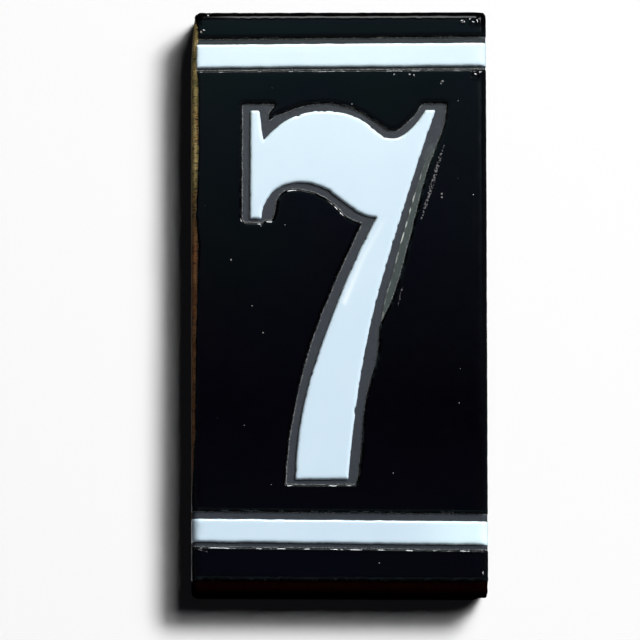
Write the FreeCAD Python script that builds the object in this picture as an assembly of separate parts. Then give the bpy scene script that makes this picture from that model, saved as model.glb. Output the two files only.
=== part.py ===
"""House number tile: a red clay slab, one piece, with a raised glazed seven and two raised bands.

The face looks towards -Y, +Z is up and +X is to the right of somebody reading the number.
The origin is the middle of the back face. All sizes are in millimetres.
"""
import math
import os

import FreeCAD
import Part

# The slab
width = 75.0
height = 150.0
thickness = 11.0
shoulder_radius = 2.2
corner_radius = 2.4
# The left side draws in by this much on its way up to the top corner
draw_in = 0.95
draw_in_length = 17.0

# The glaze stands above the clay by this much, and its edges are rounded
glaze = 0.8
lip_radius = 0.55

# Heights of the stripes across the face, each at the tile's left and right side.
# From the top edge down: black strip, dry line, white band, dry line
top_strip = (8.6, 7.05)
top_band_upper_line = (1.1, 1.45)
top_band = (5.8, 5.7)
top_band_lower_line = (1.3, 1.55)
# From the bottom edge up: bare clay, black strip, dry line, white band, dry line
bare_clay = (3.1, 3.1)
bottom_strip = (7.9, 7.3)
bottom_band_lower_line = (1.95, 2.1)
bottom_band = (5.55, 5.7)
bottom_band_upper_line = (1.5, 1.6)

# The numeral's width, how far its middle lies right of the tile's middle, and the room above and below it
numeral_width = 47.0
numeral_right = 1.05
room_above_numeral = 10.075
room_below_numeral = 9.35
outline_corner = 0.5
# The size at which its outlines are drawn
drawn_width = 47.0
drawn_height = 94.4

# Bare clay down the left side: its width at heights that run from -1 at the bottom to 1 at the top
bare_left = [(-1.0, -0.3), (-0.68, -0.2), (-0.48, 0.55), (-0.2, 0.8), (0.06, 1.2), (0.19, 1.6), (0.28, 0.9),
             (0.54, 1.65), (0.8, 1.5), (0.92, 2.1), (0.97, 0.6), (1.0, -0.3)]

# Keying pockets in the back
pocket_columns = 3
pocket_rows = 6
pocket_rib = 3.0
pocket_margin = 6.0
pocket_depth = 0.7
pocket_corner = 1.5

# The piece broken off behind the bottom right corner
chip_width = 4.6
chip_depth = 4.8
chip_height = 2.6

# The stripes in order, and the numeral's height and middle from the field that they leave for it
top_stripes = [top_strip, top_band_upper_line, top_band, top_band_lower_line]
bottom_stripes = [bare_clay, bottom_strip, bottom_band_lower_line, bottom_band, bottom_band_upper_line]
numeral_head = height / 2 - sum(map(sum, top_stripes)) / 2 - room_above_numeral
numeral_foot = sum(map(sum, bottom_stripes)) / 2 - height / 2 + room_below_numeral
numeral_height = numeral_head - numeral_foot
numeral_up = (numeral_head + numeral_foot) / 2

front = -thickness
clay_front = glaze - thickness
# Cutting shapes run this far past what they cut
past = 1.0


def spot(x, z):
    """A point of the numeral's drawing, measured from the numeral's middle."""
    return FreeCAD.Vector(numeral_right + x * numeral_width / drawn_width, 0,
                          numeral_up + z * numeral_height / drawn_height)


def lines(*points):
    places = [spot(*p) for p in points]
    return [Part.makeLine(a, b) for a, b in zip(places, places[1:])]


def bends(heading, *points):
    """Arcs from point to point, each setting off the way the last arrived. The heading is in degrees."""
    places = [spot(*p) for p in points]
    turn = math.radians(heading)
    way = spot(math.cos(turn), math.sin(turn)) - spot(0, 0)
    way.normalize()
    edges = []
    for a, b in zip(places, places[1:]):
        chord = b - a
        half = chord.Length / 2
        chord.normalize()
        ahead = way.dot(chord)
        aside = way - chord * ahead
        middle = (a + b) * 0.5 + aside * (half / (1 + ahead))
        edges.append(Part.Arc(a, middle, b).toShape())
        way = chord * ahead * 2 - way
    return edges


def seven_outline():
    """The white numeral: serif, humped head, scoop and tip, curved stem, underside arch."""
    return (
        lines((-23.4, 47.0), (-21.15, 47.0), (-20.6, 38.8))
        + bends(52, (-20.6, 38.8), (-15.4, 43.65), (-9.3, 46.55), (1.1, 45.95), (8.2, 41.5), (15.6, 40.85), (21.0, 47.5))
        + lines((21.0, 47.5), (23.45, 47.45))
        + bends(-110, (23.45, 47.45), (18.3, 32.75), (10.25, 6.1), (4.35, -19.15), (0.8, -47.2))
        + lines((0.8, -47.2), (-12.35, -47.4))
        + bends(89, (-12.35, -47.4), (-10.85, -32.65), (-7.05, -17.5), (-0.25, 1.05), (8.5, 20.05))
        + bends(179, (8.5, 20.05), (2.7, 22.0), (-2.95, 26.3), (-14.55, 28.2), (-19.2, 24.8), (-21.1, 19.2))
        + lines((-21.1, 19.2), (-23.55, 19.2), (-23.4, 47.0))
    )


def opening_outline():
    """Where the black glaze stops around the numeral, furthest off along the stem's right side."""
    return (
        lines((-25.95, 48.55), (-16.95, 48.55), (-17.95, 44.95))
        + bends(27, (-17.95, 44.95), (-10.55, 47.75), (-0.05, 48.15), (7.6, 44.6), (10.5, 42.55), (14.95, 42.75),
                (20.25, 49.15))
        + lines((20.25, 49.15), (26.1, 49.3))
        + bends(-90, (26.1, 49.3), (24.4, 40.45), (19.1, 24.1), (15.0, 7.7), (12.0, -1.65), (10.4, -5.2),
                (8.6, -11.1), (7.1, -19.4), (4.2, -35.35), (3.2, -49.55))
        + lines((3.2, -49.55), (-15.05, -49.55))
        + bends(89, (-15.05, -49.55), (-13.95, -35.7), (-10.4, -19.85), (-3.95, -1.0), (4.85, 18.15))
        + bends(171, (4.85, 18.15), (-0.85, 20.6), (-6.45, 25.05), (-13.05, 26.3), (-16.85, 23.1), (-18.25, 18.75))
        + lines((-18.25, 18.75), (-20.3, 17.4), (-25.95, 17.45), (-25.95, 48.55))
    )


def along_y(edges, start, end):
    """A prism from y = start to y = end on a closed outline that is drawn at y = 0."""
    face = Part.Face(Part.Wire(Part.__sortEdges__(edges)))
    face.translate(FreeCAD.Vector(0, start, 0))
    return face.extrude(FreeCAD.Vector(0, end - start, 0))


def runs_along_y(edge):
    ends = [v.Point for v in edge.Vertexes]
    return len(ends) == 2 and math.hypot(ends[0].x - ends[1].x, ends[0].z - ends[1].z) < 1e-6


def lies_at(edge, y):
    return abs(edge.BoundBox.YMin - y) < 1e-6 and abs(edge.BoundBox.YMax - y) < 1e-6


def turns_at(solid, edge):
    """True if the two sides that meet at an edge along Y make a corner there."""
    place = edge.Vertexes[0].Point
    ways = []
    for face in solid.ancestorsOfType(edge, Part.Face):
        u, v = face.Surface.parameter(place)
        ways.append(face.normalAt(u, v))
    return abs(ways[0].dot(ways[1])) < math.cos(math.radians(8))


def round_corners(solid, radius):
    return solid.makeFillet(radius, [e for e in solid.Edges if runs_along_y(e) and turns_at(solid, e)])


def round_front(solid, y, radius):
    return solid.makeFillet(radius, [e for e in solid.Edges if lies_at(e, y)])


def slab(front_y):
    """The tile's body up to front_y, with rounded corners and a rounded shoulder."""
    half, top = width / 2, height / 2
    low_left = FreeCAD.Vector(-half, 0, -top)
    low_right = FreeCAD.Vector(half, 0, -top)
    high_right = FreeCAD.Vector(half, 0, top)
    high_left = FreeCAD.Vector(draw_in - half, 0, top)
    bow = FreeCAD.Vector(draw_in / 4 - half, 0, top - draw_in_length / 2)
    bend = FreeCAD.Vector(-half, 0, top - draw_in_length)
    edges = [
        Part.makeLine(low_left, low_right),
        Part.makeLine(low_right, high_right),
        Part.makeLine(high_right, high_left),
        Part.Arc(high_left, bow, bend).toShape(),
        Part.makeLine(bend, low_left),
    ]
    solid = round_corners(along_y(edges, 0.0, front_y), corner_radius)
    return round_front(solid, front_y, shoulder_radius)


def down_from_top(count):
    """How high on the tile the first stripes from the top edge end, at the left and the right side."""
    return [height / 2 - sum(side) for side in zip(*top_stripes[:count])]


def up_from_bottom(count):
    return [sum(side) - height / 2 for side in zip(*bottom_stripes[:count])]


def half_space(sides, way):
    """All that lies above (way 1) or below (way -1) a line across the tile, with a rounded lip along it."""
    left, right = sides
    reach = height * 2 * way
    corners = [(0, 0), (front, 0), (front, reach), (0, reach)]
    points = [FreeCAD.Vector(-width / 2, y, left + z) for y, z in corners]
    face = Part.Face(Part.makePolygon(points + points[:1]))
    run = FreeCAD.Vector(width, 0, right - left)
    face.translate(run * -0.1)
    solid = face.extrude(run * 1.2)
    lip = [e for e in solid.Edges if lies_at(e, front) and abs(e.CenterOfMass.z) < height]
    return solid.makeFillet(lip_radius, lip)


def stripe(glazed, head, foot):
    return glazed.common(half_space(head, -1)).common(half_space(foot, 1))


def glazed_face():
    """The slab at its full thickness, less the bare clay down its left side."""
    curve = Part.BSplineCurve()
    curve.interpolate([FreeCAD.Vector(bare - width / 2, 0, z * height / 2) for z, bare in bare_left])
    low, high = curve.StartPoint, curve.EndPoint
    far = FreeCAD.Vector(width, 0, 0)
    edges = [
        curve.toShape(),
        Part.makeLine(low, low + far),
        Part.makeLine(low + far, high + far),
        Part.makeLine(high + far, high),
    ]
    return slab(front).common(along_y(edges, 0.0, front))


def main_field(glazed, head, foot):
    """The large black field, opened around the numeral with a rounded lip."""
    opening = round_corners(along_y(opening_outline(), past, front - past), outline_corner)
    field = stripe(glazed, head, foot).cut(opening)
    box = opening.BoundBox
    box.enlarge(0.01)
    mouth = [e for e in field.Edges if lies_at(e, front) and box.isInside(e.BoundBox)]
    return field.makeFillet(lip_radius, mouth)


def numeral():
    """The white seven, standing on the clay inside the opening."""
    solid = round_corners(along_y(seven_outline(), clay_front + past, front), outline_corner)
    return round_front(solid, front, lip_radius)


def glaze_fields():
    """The raised glaze, parted by the dry lines."""
    glazed = glazed_face()
    return [
        glazed.common(half_space(down_from_top(1), 1)),
        stripe(glazed, down_from_top(2), down_from_top(3)),
        main_field(glazed, down_from_top(4), up_from_bottom(5)),
        stripe(glazed, up_from_bottom(4), up_from_bottom(3)),
        stripe(glazed, up_from_bottom(2), up_from_bottom(1)),
        numeral(),
    ]


def pockets():
    """Shallow keying pockets in the back, between ribs that take the adhesive."""
    step_x = (width - 2 * pocket_margin + pocket_rib) / pocket_columns
    step_z = (height - 2 * pocket_margin + pocket_rib) / pocket_rows
    cuts = []
    for column in range(pocket_columns):
        for row in range(pocket_rows):
            x = pocket_margin - width / 2 + column * step_x
            z = pocket_margin - height / 2 + row * step_z
            start = FreeCAD.Vector(x, -pocket_depth, z)
            box = Part.makeBox(step_x - pocket_rib, pocket_depth + past, step_z - pocket_rib, start)
            cuts.append(box.makeChamfer(pocket_corner, [e for e in box.Edges if runs_along_y(e)]))
    return cuts


def chip():
    """The broken corner: a wedge that closes upwards from the bottom edge."""
    right, low = width / 2 + past, -height / 2 - past
    corners = [(right, past), (right, -chip_depth), (width / 2 - chip_width * 0.7, -chip_depth * 0.92),
               (width / 2 - chip_width, past)]
    points = [FreeCAD.Vector(x, y, low) for x, y in corners]
    face = Part.Face(Part.makePolygon(points + points[:1]))
    return face.extrude(FreeCAD.Vector(chip_width * 0.8, chip_depth * 0.8, chip_height + past))


def tile():
    body = slab(clay_front).fuse(glaze_fields())
    for cut in pockets() + [chip()]:
        body = body.cut(cut)
    return body.removeSplitter()


def main():
    os.makedirs("parts", exist_ok=True)
    shape = tile()
    solid = shape.Solids[0]
    solid.exportStep("parts/number_tile.step")
    box = solid.optimalBoundingBox(False, False)
    print("solids", len(shape.Solids), "valid", solid.isValid(), "volume", round(solid.Volume))
    print("size", round(box.XLength, 2), round(box.YLength, 2), round(box.ZLength, 2))


main()
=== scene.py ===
"""Looks of the house number tile: one closed mesh of clay, thick glazes and dry lines, on a pale wall.

The tile's front and sides are worked out as one flat sheet, measured in millimetres from the middle of the
face. The sheet is then wrapped over the tile's shoulder, down its sides and round its back edge. The glaze
fields are outlines on that sheet, and the clay between them lies deeper.
"""
import math

import bmesh
import bpy
import numpy as np
from mathutils import Matrix, Vector, kdtree, noise
from mathutils.geometry import delaunay_2d_cdt


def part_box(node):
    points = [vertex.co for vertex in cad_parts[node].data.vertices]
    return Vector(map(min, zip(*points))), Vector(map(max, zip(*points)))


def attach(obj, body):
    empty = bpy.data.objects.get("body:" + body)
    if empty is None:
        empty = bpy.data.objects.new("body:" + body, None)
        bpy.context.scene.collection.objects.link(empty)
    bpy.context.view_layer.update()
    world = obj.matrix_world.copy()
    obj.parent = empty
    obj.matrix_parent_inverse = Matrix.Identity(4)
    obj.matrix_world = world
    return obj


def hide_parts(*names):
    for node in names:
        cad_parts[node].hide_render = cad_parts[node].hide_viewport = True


MM = 0.001
NODE = "number_tile"

# The body
SHOULDER = 2.2
BACK_EDGE = 0.7
DRAW_IN = 0.95
DRAW_IN_LENGTH = 17.0
TOP_SLOPE = 0.55
FOOT_SAG = 0.38

# The chip at the bottom right behind: a point of its ridge, the ridge's way, and a way in each broken face
CHIP_CORNER = (34.28, -4.42, -76.0)
CHIP_RISE = (3.68, 3.84, 3.6)
CHIP_FRONT = (4.22, -0.38, 0.0)
CHIP_SIDE = (-1.38, 5.42, 0.0)

# The glaze: its thickness on the face and on the sides, its rounded lip's width, and how it sinks and waves
GLAZE = 0.8
GLAZE_ON_SIDE = 0.12
LIP = 1.0
SUNK = 0.05
WAVE = 0.045

# The clay lies this much deeper than the glaze's foot, with coarse and fine grain
CLAY_SUNK = 0.05
CLAY_COARSE = 0.035
CLAY_FINE = 0.03

# Heights of the lines across the face, at the tile's left and right side
TOP_STRIP_FOOT = (67.75, 68.4)
TOP_BAND_HEAD = (66.25, 66.75)
TOP_BAND_FOOT = (60.05, 60.7)
MAIN_HEAD = (59.4, 59.9)
MAIN_FOOT = (-54.15, -54.5)
LOW_BAND_HEAD = (-56.1, -56.45)
LOW_BAND_FOOT = (-61.95, -62.45)
LOW_STRIP_HEAD = (-63.15, -63.75)
GLAZE_FOOT = -71.6

# Width of the bare clay down the left side by height. Below zero the glaze runs onto the side
BARE_LEFT = [(-75, -0.3), (-51, -0.2), (-36, 0.55), (-15, 0.8), (4.5, 1.2), (14, 1.6), (21, 0.9), (40, 1.65),
             (56, 1.6), (60, 0.9), (66, 0.9), (69, 1.2), (72.2, 0.3), (75, -0.3)]

# How far the glaze runs down the sides, on the left as a multiple of the width above, and how unevenly
RUN_DOWN_LEFT = 6.0
RUN_DOWN_RIGHT = 3.6
RUN_DOWN_TOP = 4.6
UNEVEN_RIGHT = 1.4
UNEVEN_TOP = 1.6

# The numeral's middle
NUMERAL = (1.15, 1.7)

# Right of the stem a raised seam of glaze runs down the dry line, with a thin skirt between it and the black
SEAM = [(21.95, 36.05), (18.75, 26.2), (16.65, 18.55), (14.8, 12.0), (13.5, 6.45), (11.7, 1.2), (10.6, -5.65)]
SKIRT_RISE = 0.28
SEAM_RISE = 0.12

# Dotted lines of painted glints in the black glaze with how far each reaches, and a painted highlight down
# the white stem
GLINT_LINES = [([(26.65, 40.5), (24.35, 32.95), (23.05, 28.35), (20.6, 20.2)], 1.45),
           ([(16.2, 4.15), (15.4, 1.55), (14.7, -1.85)], 0.6),
           ([(-37.3, -63.6), (-35.2, -64.2), (-32.8, -64.8)], 0.55)]
STEM_SHEEN = [(11.05, 20.2), (5.95, 10.9), (1.1, -1.0)]
STEM_SHEEN_WIDTH = 1.0

# Small beads of glaze that catch the light: place on the face and radius
BEADS = [(34.1, 71.9, 1.3), (31.4, 71.8, 0.7), (34.6, 58.3, 1.5), (33.6, 57.6, 0.4), (26.2, 56.4, 0.4),
         (17.9, 58.1, 0.4), (19.0, 58.0, 0.35), (-33.4, 73.6, 0.7), (-34.5, 69.3, 0.45), (13.9, 58.2, 0.35),
         (36.0, -55.0, 0.6), (36.3, -70.2, 0.7)]
# Pale specks in the black glaze, the last two of them painted glints: place on the face and radius
SPECKS_AND_GLINTS = [(26.0, 27.5, 0.42), (26.0, 26.6, 0.4), (-27.5, 10.2, 0.36), (-19.4, -8.5, 0.3), (-22.2, -1.6, 0.25),
          (-13.8, 19.3, 0.25), (8.3, 28.5, 0.3), (-19.9, 19.0, 0.25), (25.9, 56.0, 0.3), (-35.05, 69.0, 0.5)]

# How square each corner of the tile is: 2 is a round arc
CORNER_POWERS = {(-1, 1): 2.8, (1, 1): 3.6, (-1, -1): 2.4, (1, -1): 6.0}

# Keying pockets in the back
POCKET_COLUMNS = 3
POCKET_ROWS = 6
POCKET_RIB = 3.0
POCKET_MARGIN = 6.0
POCKET_DEPTH = 0.7
POCKET_CORNER = 1.5
POCKET_DRAFT = 0.7

# Spacing of the mesh's points along an edge, on the glaze, on bare clay and on the back
ALONG_EDGE = 0.36
ON_GLAZE = 1.5
ON_CLAY = 0.85
ON_BACK = 1.7

# Rows of points beside an edge on the glaze and on the floor, and beside the drawn marks
GLAZE_RINGS = (0.05, 0.12, 0.21, 0.34, 0.52, 0.8, 1.2)
FLOOR_RINGS = (0.14, 0.42)
MARK_RINGS = (0.0, -0.22, 0.22, -0.48, 0.48, -0.9, 0.9)

# Points of the sheet's own edge: across, upward and round a corner
RING_ACROSS = 44
RING_UPWARD = 88
RING_CORNER = 13

# Spacing of points on a path while it is drawn, softened or measured to
DRAWN_STEP = 0.1
SOFT_STEP = 0.12
MARK_STEP = 0.25
NEAR_STEP = 0.08


def ripple(points, size, seed):
    """Smooth noise from -1 to 1 at points of two coordinates, with features of about the given size."""
    return np.array([noise.noise(Vector((x / size, y / size, seed))) for x, y in points])


def resample(path, step):
    """Points evenly along a path of complex numbers."""
    along = np.concatenate(([0.0], np.cumsum(np.abs(np.diff(path)))))
    places = np.linspace(0, along[-1], max(2, round(along[-1] / step) + 1))
    return np.interp(places, along, path.real) + 1j * np.interp(places, along, path.imag)


def line(*points):
    """Straight runs through points of the numeral's drawing."""
    return resample(np.array([complex(*p) for p in points]), DRAWN_STEP)


def bends(heading, *points):
    """Arcs from point to point, each setting off the way the last arrived. The heading is in degrees."""
    way = np.exp(1j * math.radians(heading))
    path = [np.array([complex(*points[0])])]
    for a, b in zip(points, points[1:]):
        chord = complex(*b) - complex(*a)
        turn = 2 * np.angle(chord / way)
        share = np.linspace(0, 1, 24)[1:]
        if abs(turn) > 1e-6:
            share = (np.exp(1j * turn * share) - 1) / (np.exp(1j * turn) - 1)
        path.append(complex(*a) + chord * share)
        way *= np.exp(1j * turn)
    return np.concatenate(path)


def seven_outline():
    """The white numeral: serif, humped head, scoop and tip, curved stem, underside arch."""
    return np.concatenate((
        line((-23.7, 47.4), (-21.35, 47.4), (-20.85, 42.5), (-20.4, 39.5)),
        bends(52, (-20.4, 39.5), (-15.75, 44.0), (-9.6, 46.8), (1.3, 46.35), (8.4, 41.85), (15.3, 41.25),
              (20.75, 47.65)),
        line((20.75, 47.65), (23.45, 47.65)),
        bends(-110, (23.45, 47.65), (18.4, 32.7), (10.3, 6.1), (4.45, -19.2), (0.95, -47.6)),
        line((0.95, -47.6), (-12.5, -47.75)),
        bends(89, (-12.5, -47.75), (-11.1, -32.65), (-7.3, -17.5), (-0.45, 1.05), (8.25, 19.75)),
        bends(179, (8.25, 19.75), (2.6, 21.7), (-2.95, 25.95), (-14.7, 28.15), (-19.3, 24.6), (-20.95, 19.2)),
        line((-20.95, 19.2), (-23.9, 19.2), (-23.7, 47.4)),
    ))


def opening_outline():
    """Where the black glaze stops around the numeral, furthest off along the stem's right side."""
    return np.concatenate((
        line((-25.7, 49.2), (-17.3, 49.1), (-19.0, 46.5), (-18.9, 44.8)),
        bends(41, (-18.9, 44.8), (-16.0, 46.55), (-10.75, 48.4), (-0.1, 48.7), (7.7, 44.95), (10.55, 42.85),
              (14.7, 43.0), (20.05, 49.3)),
        line((20.05, 49.3), (26.2, 49.4)),
        bends(-90, (26.2, 49.4), (24.4, 40.45), (19.05, 24.1), (14.95, 7.7), (12.0, -1.65), (10.3, -5.2),
              (8.75, -11.1), (7.5, -19.4), (4.6, -35.35), (3.0, -48.9)),
        line((3.0, -48.9), (-14.8, -49.0)),
        bends(89, (-14.8, -49.0), (-13.65, -35.7), (-10.35, -19.85), (-3.95, -1.0), (4.7, 18.3)),
        bends(171, (4.7, 18.3), (-0.75, 21.4), (-6.3, 25.6), (-13.2, 27.0), (-17.1, 23.3), (-18.35, 18.75)),
        line((-18.35, 18.75), (-19.9, 19.0), (-20.6, 18.25), (-25.1, 18.25), (-25.85, 18.95), (-25.7, 49.2)),
    ))


def smoothed(padded, half):
    """Each point's mean with its neighbours, half on either side. The path comes padded by that many."""
    return np.convolve(padded, np.ones(2 * half + 1) / (2 * half + 1), "valid")


def soften(loop, reach, wobble, bite, seed):
    """Rounds a loop's corners over about the given reach and gives it a hand-drawn edge with small bites."""
    loop = resample(loop, SOFT_STEP)[:-1]
    half = max(1, round(reach / SOFT_STEP))
    for _ in range(2):
        loop = smoothed(np.concatenate((loop[-half:], loop, loop[:half])), half)
    way = np.roll(loop, -1) - np.roll(loop, 1)
    way /= np.abs(way)
    flat = np.stack((loop.real, loop.imag), 1)
    push = wobble * (ripple(flat, 2.3, seed) + 0.6 * ripple(flat, 0.8, seed + 7))
    bites = bite * np.clip(ripple(flat, 1.1, seed + 4) - 0.2, 0, 1)
    push += bites + 0.35 * wobble * ripple(flat, 0.45, seed + 9)
    loop = loop + 1j * way * push
    return resample(np.append(loop, loop[0]), ALONG_EDGE)[:-1]


def pairs(path):
    """Complex numbers as rows of two coordinates."""
    return np.stack((path.real, path.imag), 1)


class Body:
    """The tile's plain sizes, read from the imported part, and how the flat sheet wraps round it."""

    def __init__(self, low, high):
        self.width, self.thick, self.height = (high - low) / MM
        self.a = self.width / 2 - SHOULDER
        self.b = self.height / 2 - SHOULDER
        self.quarter = SHOULDER * math.pi / 2
        self.wall = self.thick - SHOULDER - BACK_EDGE
        self.reach = self.quarter + self.wall + BACK_EDGE * math.pi / 2

    def beyond(self, sheet):
        """How far points of the sheet lie beyond the flat face, and the way out there."""
        inner = np.clip(sheet, (-self.a, -self.b), (self.a, self.b))
        out = sheet - inner
        far = np.hypot(out[:, 0], out[:, 1])
        return inner, out / np.maximum(far, 1e-9)[:, None], far

    def wrap(self, sheet):
        """Places in space and outward normals for points of the sheet."""
        inner, way, far = self.beyond(sheet)
        turn = np.clip(far / SHOULDER, 0, math.pi / 2)
        down = np.clip(far - self.quarter, 0, self.wall)
        back = np.clip((far - self.quarter - self.wall) / BACK_EDGE, 0, math.pi / 2)
        power = np.full(len(sheet), 2.0)
        for (x, z), value in CORNER_POWERS.items():
            power[(way[:, 0] * x > 0) & (way[:, 1] * z > 0)] = value
        sides = np.where((far > 0)[:, None], np.abs(way), (1.0, 0.0))
        out = SHOULDER * np.sin(turn) - BACK_EDGE * (1 - np.cos(back))
        out *= (sides[:, 0] ** power + sides[:, 1] ** power) ** (-1 / power)
        depth = SHOULDER * (1 - np.cos(turn)) + down + BACK_EDGE * np.sin(back)
        flat = inner + way * out[:, None]
        side = way * (np.sin(turn) * np.cos(back))[:, None]
        place = np.stack((flat[:, 0], depth - self.thick, flat[:, 1]), 1)
        normal = np.stack((side[:, 0], np.sin(back) - np.cos(turn), side[:, 1]), 1)
        return place, normal


def cross_line(body, heights, seed, wobble=0.1):
    """A dry line's edge right across the sheet, from side to side."""
    end = body.a + body.reach
    u = np.arange(-end, end, ALONG_EDGE)
    v = np.interp(u, (-body.width / 2, body.width / 2), heights)
    flat = np.stack((u, v), 1)
    v = v + wobble * (ripple(flat, 3.1, seed) + 0.6 * ripple(flat, 0.8, seed + 3))
    return u + 1j * v


def run_down_left(body, z):
    """How far round the left shoulder and side the glaze reaches at a height."""
    bare = np.interp(z, *zip(*BARE_LEFT))
    on_face = SHOULDER * np.arcsin(np.clip((SHOULDER - bare) / SHOULDER, 0, 1))
    return np.where(bare > 0, on_face, body.quarter - bare * RUN_DOWN_LEFT)


def glaze_reach(body):
    """The loop where all glaze ends, on the sides and above the bare foot."""
    step = ALONG_EDGE
    right_z = np.arange(GLAZE_FOOT, body.b, step)
    drip = ripple(np.stack((right_z, right_z * 0), 1), 9.0, 3.3)
    right = body.a + body.quarter + RUN_DOWN_RIGHT + UNEVEN_RIGHT * drip + 1j * right_z
    top_x = np.arange(body.a, -body.a, -step)
    sag = ripple(np.stack((top_x, top_x * 0), 1), 11.0, 8.1)
    top = top_x + 1j * (body.b + body.quarter + RUN_DOWN_TOP + UNEVEN_TOP * sag)
    left_z = np.arange(body.b, GLAZE_FOOT, -step)
    left = -body.a - run_down_left(body, left_z) + 1j * left_z
    foot_x = np.arange(left[-1].real, right[0].real, step)
    foot = foot_x + 1j * GLAZE_FOOT
    turn = np.linspace(0, math.pi / 2, 24)[1:-1]
    corner = body.a + 1j * body.b
    first = np.interp(turn, (0, math.pi / 2), (right[-1].real - body.a, top[0].imag - body.b))
    right_corner = corner + first * np.exp(1j * turn)
    last = np.interp(turn, (0, math.pi / 2), (top[-1].imag - body.b, -body.a - left[0].real))
    left_corner = -body.a + 1j * body.b + last * np.exp(1j * (turn + math.pi / 2))
    loop = np.concatenate((right, right_corner, top, left_corner, left, foot))
    return soften(np.append(loop, loop[0]), 0.5, 0.16, 0.3, 5.5)


class Loop:
    """A closed outline whose nearest point is quick to find."""

    def __init__(self, path):
        self.path = path
        self.points = pairs(path)
        self.tree = tree_of(self.points)
        x, y = self.points.T
        self.leftward = np.sign((x * np.roll(y, -1) - y * np.roll(x, -1)).sum())

    def inside(self, sheet):
        """Distance from points to the outline, positive inside it."""
        near = np.array([self.tree.find((x, y, 0))[1] for x, y in sheet])
        count = len(self.points)
        gap, side = np.full(len(sheet), np.inf), np.zeros(len(sheet))
        around = self.points[(near + 1) % count] - self.points[near - 1]
        for first in (near - 1, near):
            corner = self.points[first % count]
            run = self.points[(first + 1) % count] - corner
            away = sheet - corner
            share = (away * run).sum(1) / (run ** 2).sum(1)
            rest = away - np.clip(share, 0, 1)[:, None] * run
            found = np.hypot(rest[:, 0], rest[:, 1])
            beside = (share > 0) & (share < 1)
            way = np.where(beside[:, None], run, around)
            cross = way[:, 0] * rest[:, 1] - way[:, 1] * rest[:, 0]
            side = np.where(found < gap, cross, side)
            gap = np.minimum(found, gap)
        gap[gap < 1e-7] = 0
        return gap * np.sign(side) * self.leftward


class Drawing:
    """The outlines on the sheet, and how deep inside each glaze field a point lies."""

    BLACK, WHITE, BARE = 0, 1, 2
    COLOURS = (BLACK, WHITE, BLACK, WHITE, BLACK, WHITE)

    def __init__(self, body):
        self.lines = [cross_line(body, heights, 2.7 * i + 1.1) for i, heights in enumerate((
            TOP_STRIP_FOOT, TOP_BAND_HEAD, TOP_BAND_FOOT, MAIN_HEAD, MAIN_FOOT, LOW_BAND_HEAD, LOW_BAND_FOOT,
            LOW_STRIP_HEAD))]
        self.reach = Loop(glaze_reach(body))
        middle = complex(*NUMERAL)
        self.seven = Loop(soften(seven_outline() + middle, 0.25, 0.09, -0.5, 1.9))
        self.opening = Loop(soften(opening_outline() + middle, 0.25, 0.1, 0.25, 6.4))

    def depths(self, sheet):
        """For each field, the distance from its nearest edge, positive inside the field."""
        up = [sheet[:, 1] - np.interp(sheet[:, 0], path.real, path.imag) for path in self.lines]
        glazed = self.reach.inside(sheet)
        opened = self.opening.inside(sheet)
        fields = [
            np.minimum(glazed, up[0]),
            np.minimum.reduce((glazed, -up[1], up[2])),
            np.minimum.reduce((glazed, -up[3], up[4], -opened)),
            np.minimum.reduce((glazed, -up[5], up[6])),
            np.minimum(glazed, -up[7]),
            self.seven.inside(sheet),
        ]
        return np.stack(fields, 1), glazed, opened


def rings(path, closed, glaze_left):
    """Rows of points beside an edge, close together on the glaze side and a few on the floor side."""
    if closed:
        way = np.roll(path, -1) - np.roll(path, 1)
    else:
        way = np.gradient(path)
    left = 1j * way / np.abs(way)
    rows = []
    for side, steps in ((1 if glaze_left else -1, GLAZE_RINGS), (-1 if glaze_left else 1, FLOOR_RINGS)):
        rows += [(path + left * side * step, step) for step in steps]
    return rows


def scattered(low, high, step, seed):
    """Points in rows, each pushed a little off its place."""
    shake = np.random.default_rng(seed)
    x, y = np.meshgrid(np.arange(low[0], high[0], step), np.arange(low[1], high[1], step * 0.87))
    x = x + (np.arange(len(x)) % 2)[:, None] * step / 2
    points = np.stack((x.ravel(), y.ravel()), 1)
    return points + shake.uniform(-0.16, 0.16, points.shape) * step


def tree_of(points):
    """Finds the nearest of many points quickly."""
    tree = kdtree.KDTree(len(points))
    for i, (x, y) in enumerate(points):
        tree.insert((x, y, 0), i)
    tree.balance()
    return tree


def clear_of(tree, points, room):
    """Which points lie further than their room from everything in the tree."""
    return np.array([tree.find((x, y, 0))[2] > r for (x, y), r in zip(points, room)])


def outer_ring(body):
    """The sheet's own edge, where it meets the back."""
    across = np.linspace(-body.a, body.a, RING_ACROSS)
    upward = np.linspace(-body.b, body.b, RING_UPWARD)
    turn = np.linspace(0, math.pi / 2, RING_CORNER)
    loop = []
    for corner, start in (((1, 1), 0.0), ((-1, 1), 0.5), ((-1, -1), 1.0), ((1, -1), 1.5)):
        middle = complex(corner[0] * body.a, corner[1] * body.b)
        loop.append(middle + body.reach * np.exp(1j * (turn + start * math.pi)))
        if start in (0.0, 1.0):
            loop.append((across[::-1] if start == 0.0 else across)[1:-1]
                        + 1j * corner[1] * (body.b + body.reach))
        else:
            loop.append(corner[0] * (body.a + body.reach)
                        + 1j * (upward[::-1] if start == 0.5 else upward)[1:-1])
    return np.concatenate(loop)


class Edges:
    """Rows of points that the mesh has to follow, closed or open."""

    def __init__(self):
        self.rows, self.runs, self.total = [], [], 0

    def add(self, points, closed=True):
        self.rows.append(points)
        self.runs.append((self.total, len(points), closed))
        self.total += len(points)

    def points(self):
        return np.concatenate(self.rows)


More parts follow.
